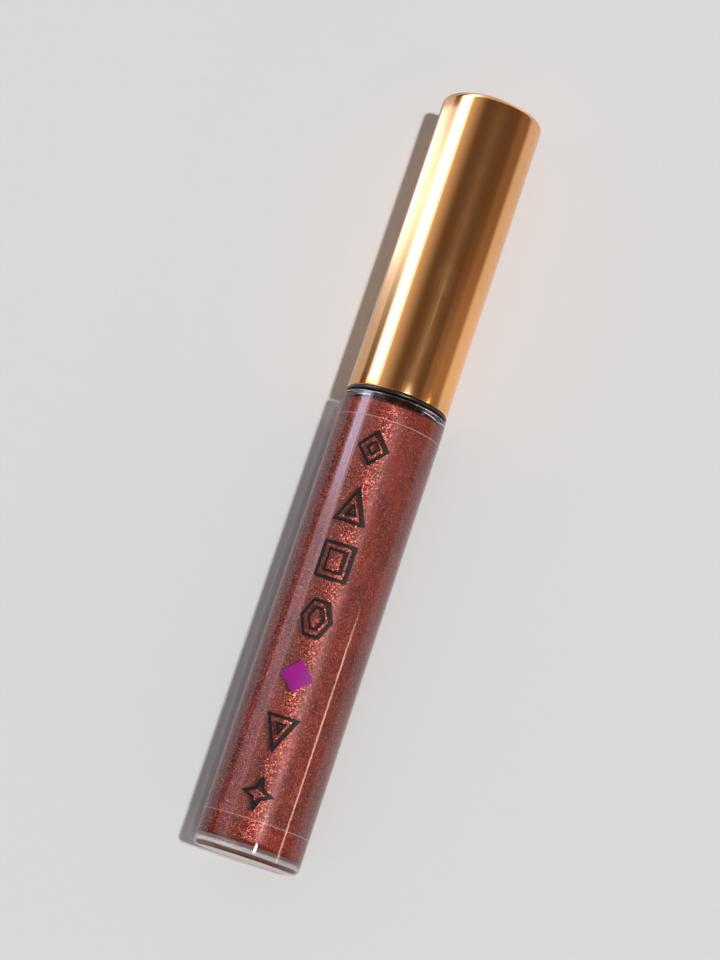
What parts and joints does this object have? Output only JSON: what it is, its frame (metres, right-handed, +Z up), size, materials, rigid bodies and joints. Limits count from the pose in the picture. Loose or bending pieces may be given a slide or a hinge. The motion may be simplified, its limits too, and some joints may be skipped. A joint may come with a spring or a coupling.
{
  "type": "lip gloss tube",
  "caption": "Clear round lip gloss tube with a metallic rose gloss, a tall gold screw cap over a black ring, and a wand with a slanted flocked tip inside.",
  "frame": {"origin": "centre of the base, on the surface that the tube stands on", "axes": "+Z up along the tube's axis, from the base to the top of the cap; -Y is the printed front of the label and +Y its seam"},
  "size_m": [0.0162, 0.0162, 0.1191],
  "materials": {
    "clear_plastic": "clear gloss",
    "clear_film": "clear gloss film with printed marks",
    "gloss_liquid": "metallic rose with fine gold and pink glitter",
    "gold_metal": "anodised rose gold, polished",
    "black_plastic": "moulded, semi-gloss",
    "soft_plastic": "translucent, satin",
    "foam": "fine closed-cell foam",
    "stem_plastic": "moulded, glossy",
    "tip_plastic": "soft, satin",
    "black_ink": "printed ink",
    "magenta_ink": "printed ink",
    "flock": "short dense flock, tinted by gloss"
  },
  "bodies": {
    "bottle": {"bottle": "clear_plastic", "gloss_fill": "gloss_liquid", "label_film": "clear_film", "wiper": "soft_plastic"},
    "washer": {"sealing_washer": "foam"},
    "cap": {"inner_cap": "black_plastic", "overcap": "gold_metal", "stem": "stem_plastic", "applicator_core": "tip_plastic", "applicator_flock": "flock"}
  },
  "joints": [
    {"name": "cap_lift", "type": "slide", "parent": "bottle", "child": "washer", "axis": [0, 0, 1], "range_m": [0, 0.085]},
    {"name": "cap_turn", "type": "hinge", "parent": "washer", "child": "cap", "pos_m": [0, 0, 0.085], "axis": [0, 0, 1], "range_deg": [0, 540]}
  ]
}
